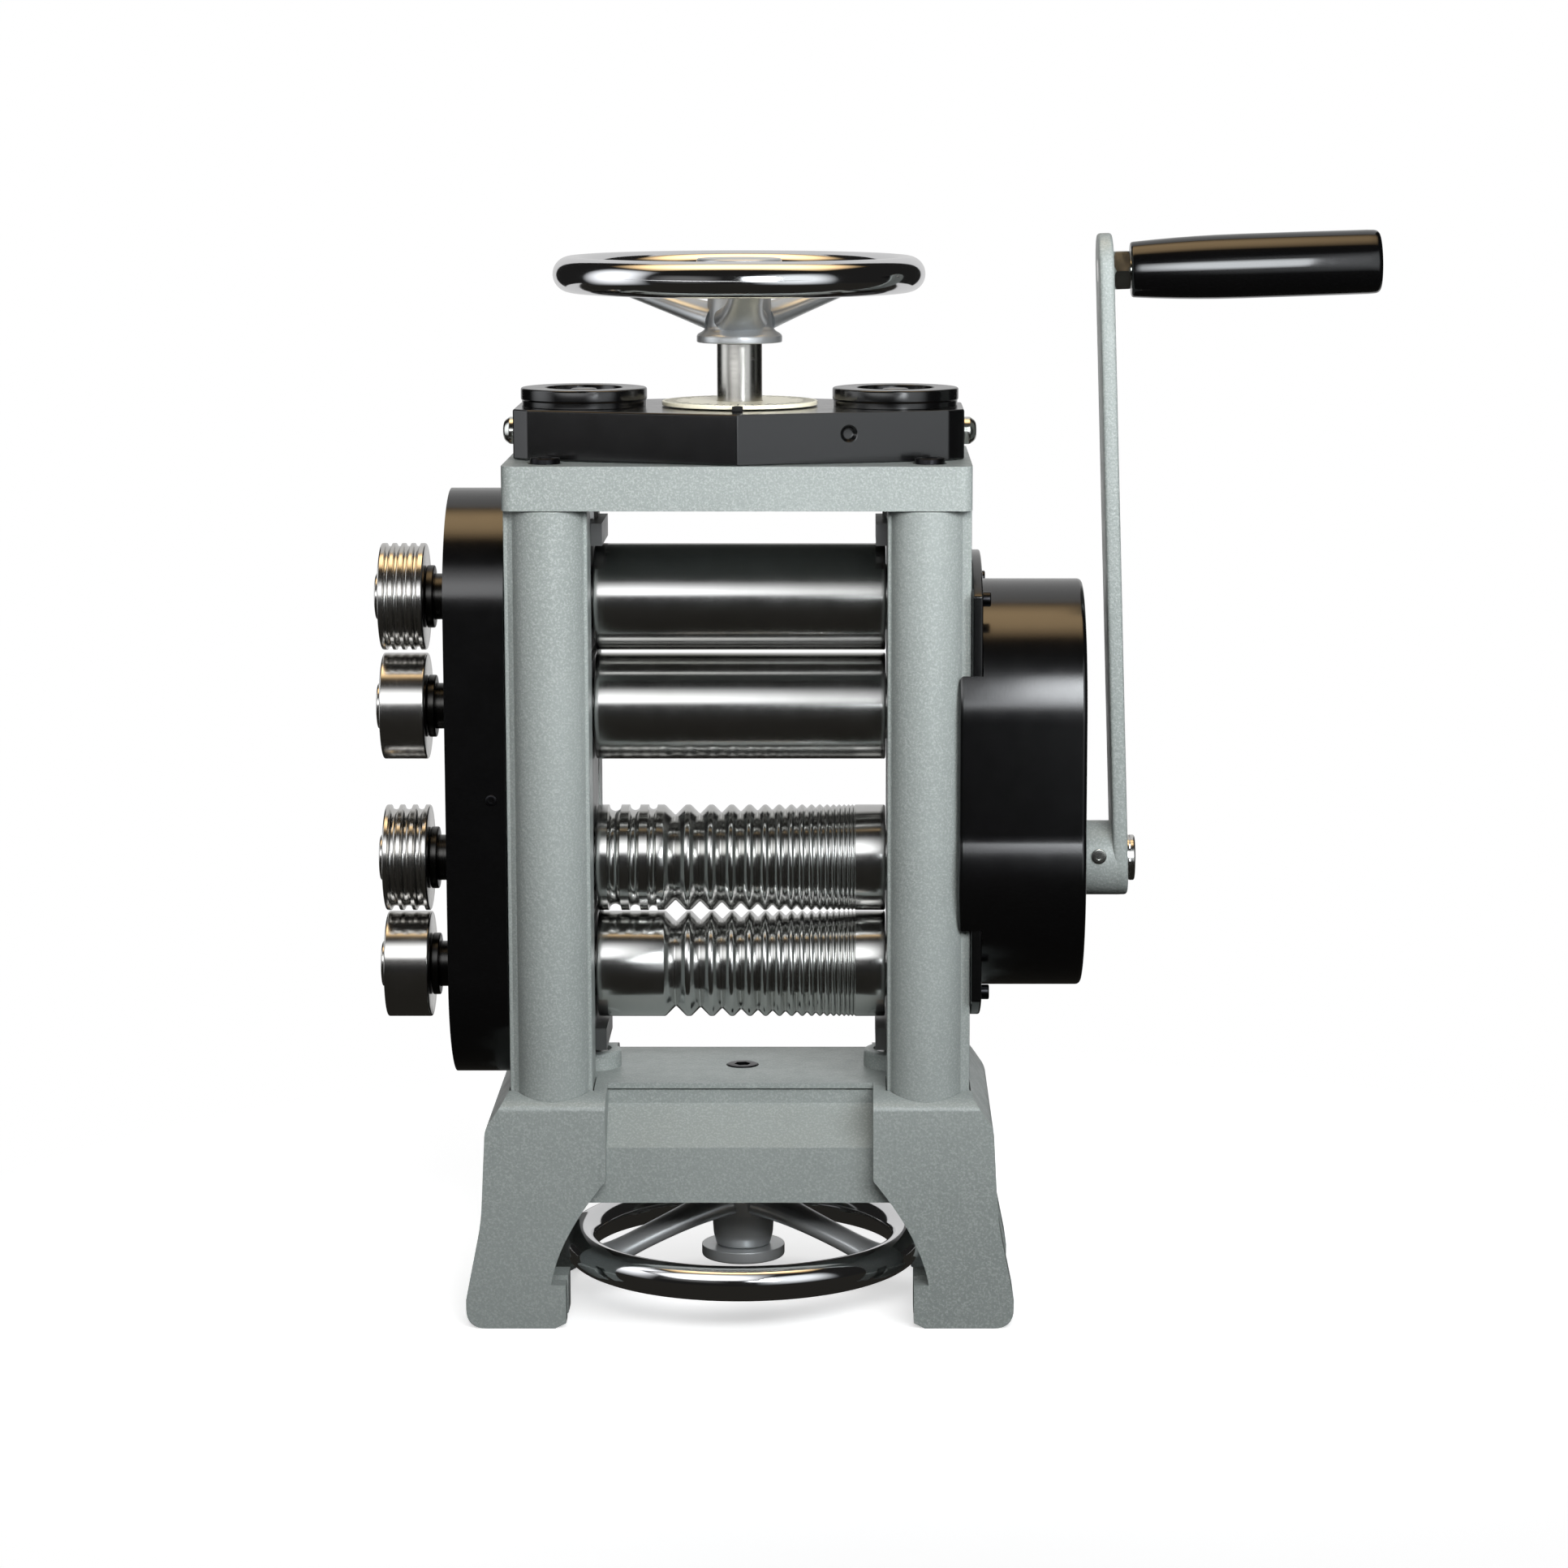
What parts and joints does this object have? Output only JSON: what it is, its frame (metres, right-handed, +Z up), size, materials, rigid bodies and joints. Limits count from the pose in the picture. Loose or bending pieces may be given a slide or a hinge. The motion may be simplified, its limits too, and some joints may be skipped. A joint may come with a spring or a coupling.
{
  "type": "hand cranked double rolling mill",
  "caption": "Hand cranked jewellers' rolling mill: flat rolls above grooved wire rolls in an open pillar frame, geared gap adjustment above and below, side extension rolls.",
  "frame": {"origin": "middle of the whole mill's bounding box, on the bench under the feet", "axes": "+X along the rolls towards the crank, +Y away from the user, +Z up"},
  "size_m": [0.5424, 0.2, 0.587],
  "materials": {
    "frame_enamel": "grey-green hammered enamel over a rough casting",
    "black_enamel": "satin black enamel",
    "chrome_rim": "bright chromed rim with satin spokes and hub",
    "roll_steel": "ground and polished hardened steel",
    "gear_steel": "machined steel",
    "bright_steel": "bright turned steel",
    "spring_steel": "dark spring steel",
    "cast_iron": "machined cast iron",
    "bronze": "plain bearing bronze",
    "dial_cream": "cream enamel dial face",
    "grip_phenolic": "polished black phenolic"
  },
  "bodies": {
    "frame": {"base_casting": "frame_enamel", "base_gear_pan": "cast_iron", "pillar_front_left": "frame_enamel", "pillar_rear_left": "frame_enamel", "pillar_front_right": "frame_enamel", "pillar_rear_right": "frame_enamel", "top_plate": "frame_enamel", "centre_block_left": "cast_iron", "centre_block_right": "cast_iron", "upper_spring_left": "spring_steel", "upper_spring_right": "spring_steel", "lower_spring_left": "spring_steel", "lower_spring_right": "spring_steel", "gear_cover_plate": "cast_iron", "gear_cover": "black_enamel", "gearbox_plate": "black_enamel", "gearbox_cover": "black_enamel", "gearbox_bush": "bronze", "head_casing": "black_enamel", "head_cap_left": "black_enamel", "head_cap_right": "black_enamel", "head_lock_screw_left": "bright_steel", "head_lock_screw_right": "bright_steel"},
    "crank": {"input_shaft": "bright_steel", "crank_arm": "frame_enamel", "handle_spindle": "bright_steel"},
    "grip": {"handle_grip": "grip_phenolic"},
    "upper_blocks": {"upper_chock_left": "cast_iron", "upper_chock_right": "cast_iron"},
    "lower_blocks": {"lower_chock_left": "cast_iron", "lower_chock_right": "cast_iron"},
    "roll_a": {"roll_flat_upper": "roll_steel", "side_gear_flat_upper": "gear_steel", "side_roll_flat_upper": "roll_steel"},
    "roll_b": {"roll_flat_lower": "roll_steel", "side_gear_flat_lower": "gear_steel", "side_roll_flat_lower": "roll_steel", "coupling_gear_upper": "gear_steel", "bull_gear": "gear_steel"},
    "roll_c": {"roll_wire_upper": "roll_steel", "side_gear_wire_upper": "gear_steel", "side_roll_wire_upper": "roll_steel", "coupling_gear_lower": "gear_steel"},
    "roll_d": {"roll_wire_lower": "roll_steel", "side_gear_wire_lower": "gear_steel", "side_roll_wire_lower": "roll_steel"},
    "top_wheel": {"top_handwheel": "chrome_rim", "top_spindle": "bright_steel", "top_wheel_cap": "bright_steel", "dial_ring": "dial_cream", "top_centre_gear": "gear_steel"},
    "bottom_wheel": {"bottom_handwheel": "chrome_rim", "bottom_spindle": "bright_steel", "bottom_wheel_cap": "bright_steel", "bottom_centre_gear": "gear_steel"},
    "upper_screw_l": {"top_screw_left": "gear_steel"},
    "upper_screw_r": {"top_screw_right": "gear_steel"},
    "lower_screw_l": {"bottom_screw_left": "gear_steel"},
    "lower_screw_r": {"bottom_screw_right": "gear_steel"}
  },
  "joints": [
    {"name": "crank_turn", "type": "hinge", "parent": "frame", "child": "crank", "pos_m": [0.12679, 0, 0.2455], "axis": [1, 0, 0], "continuous": true},
    {"name": "grip_turn", "type": "hinge", "parent": "crank", "child": "grip", "pos_m": [0.12318, 0, 0.56532], "axis": [0.9995, 0, 0.0332], "continuous": true},
    {"name": "upper_blocks_slide", "type": "slide", "parent": "frame", "child": "upper_blocks", "axis": [0, 0, 1], "range_m": [-0.0019, 0.0044], "deforming": ["upper_spring_left", "upper_spring_right"]},
    {"name": "lower_blocks_slide", "type": "slide", "parent": "frame", "child": "lower_blocks", "axis": [0, 0, 1], "range_m": [-0.0044, 0.0013], "deforming": ["lower_spring_left", "lower_spring_right"]},
    {"name": "roll_a_turn", "type": "hinge", "parent": "upper_blocks", "child": "roll_a", "pos_m": [-0.07321, 0, 0.3895], "axis": [1, 0, 0], "continuous": true},
    {"name": "roll_b_turn", "type": "hinge", "parent": "frame", "child": "roll_b", "pos_m": [-0.07321, 0, 0.3295], "axis": [1, 0, 0], "continuous": true},
    {"name": "roll_c_turn", "type": "hinge", "parent": "frame", "child": "roll_c", "pos_m": [-0.07321, 0, 0.2455], "axis": [1, 0, 0], "continuous": true},
    {"name": "roll_d_turn", "type": "hinge", "parent": "lower_blocks", "child": "roll_d", "pos_m": [-0.07321, 0, 0.1861], "axis": [1, 0, 0], "continuous": true},
    {"name": "top_wheel_turn", "type": "hinge", "parent": "frame", "child": "top_wheel", "pos_m": [-0.07321, 0, 0.53], "axis": [0, 0, 1], "range_deg": [-216, 516]},
    {"name": "bottom_wheel_turn", "type": "hinge", "parent": "frame", "child": "bottom_wheel", "pos_m": [-0.07321, 0, 0.04], "axis": [0, 0, 1], "range_deg": [-516, 144]},
    {"name": "upper_screw_left_turn", "type": "hinge", "parent": "upper_blocks", "child": "upper_screw_l", "pos_m": [-0.15721, 0, 0.46], "axis": [0, 0, 1], "range_deg": [-1035, 435]},
    {"name": "lower_screw_left_turn", "type": "hinge", "parent": "lower_blocks", "child": "lower_screw_l", "pos_m": [-0.15721, 0, 0.11], "axis": [0, 0, 1], "range_deg": [-291, 1035]},
    {"name": "upper_screw_right_turn", "type": "hinge", "parent": "upper_blocks", "child": "upper_screw_r", "pos_m": [0.01079, 0, 0.46], "axis": [0, 0, 1], "range_deg": [-1035, 435]},
    {"name": "lower_screw_right_turn", "type": "hinge", "parent": "lower_blocks", "child": "lower_screw_r", "pos_m": [0.01079, 0, 0.11], "axis": [0, 0, 1], "range_deg": [-291, 1035]}
  ],
  "couplings": [
    {"joint": "roll_b_turn", "follows": "crank_turn", "ratio": -0.4},
    {"joint": "roll_c_turn", "follows": "crank_turn", "ratio": 0.4},
    {"joint": "roll_a_turn", "follows": "crank_turn", "ratio": 0.4},
    {"joint": "roll_d_turn", "follows": "crank_turn", "ratio": -0.4},
    {"joint": "upper_blocks_slide", "follows": "top_wheel_turn", "m_per_rad": 0.00047746},
    {"joint": "lower_blocks_slide", "follows": "bottom_wheel_turn", "m_per_rad": 0.00047746},
    {"joint": "upper_screw_left_turn", "follows": "top_wheel_turn", "ratio": -2},
    {"joint": "upper_screw_right_turn", "follows": "top_wheel_turn", "ratio": -2},
    {"joint": "lower_screw_left_turn", "follows": "bottom_wheel_turn", "ratio": -2},
    {"joint": "lower_screw_right_turn", "follows": "bottom_wheel_turn", "ratio": -2}
  ]
}
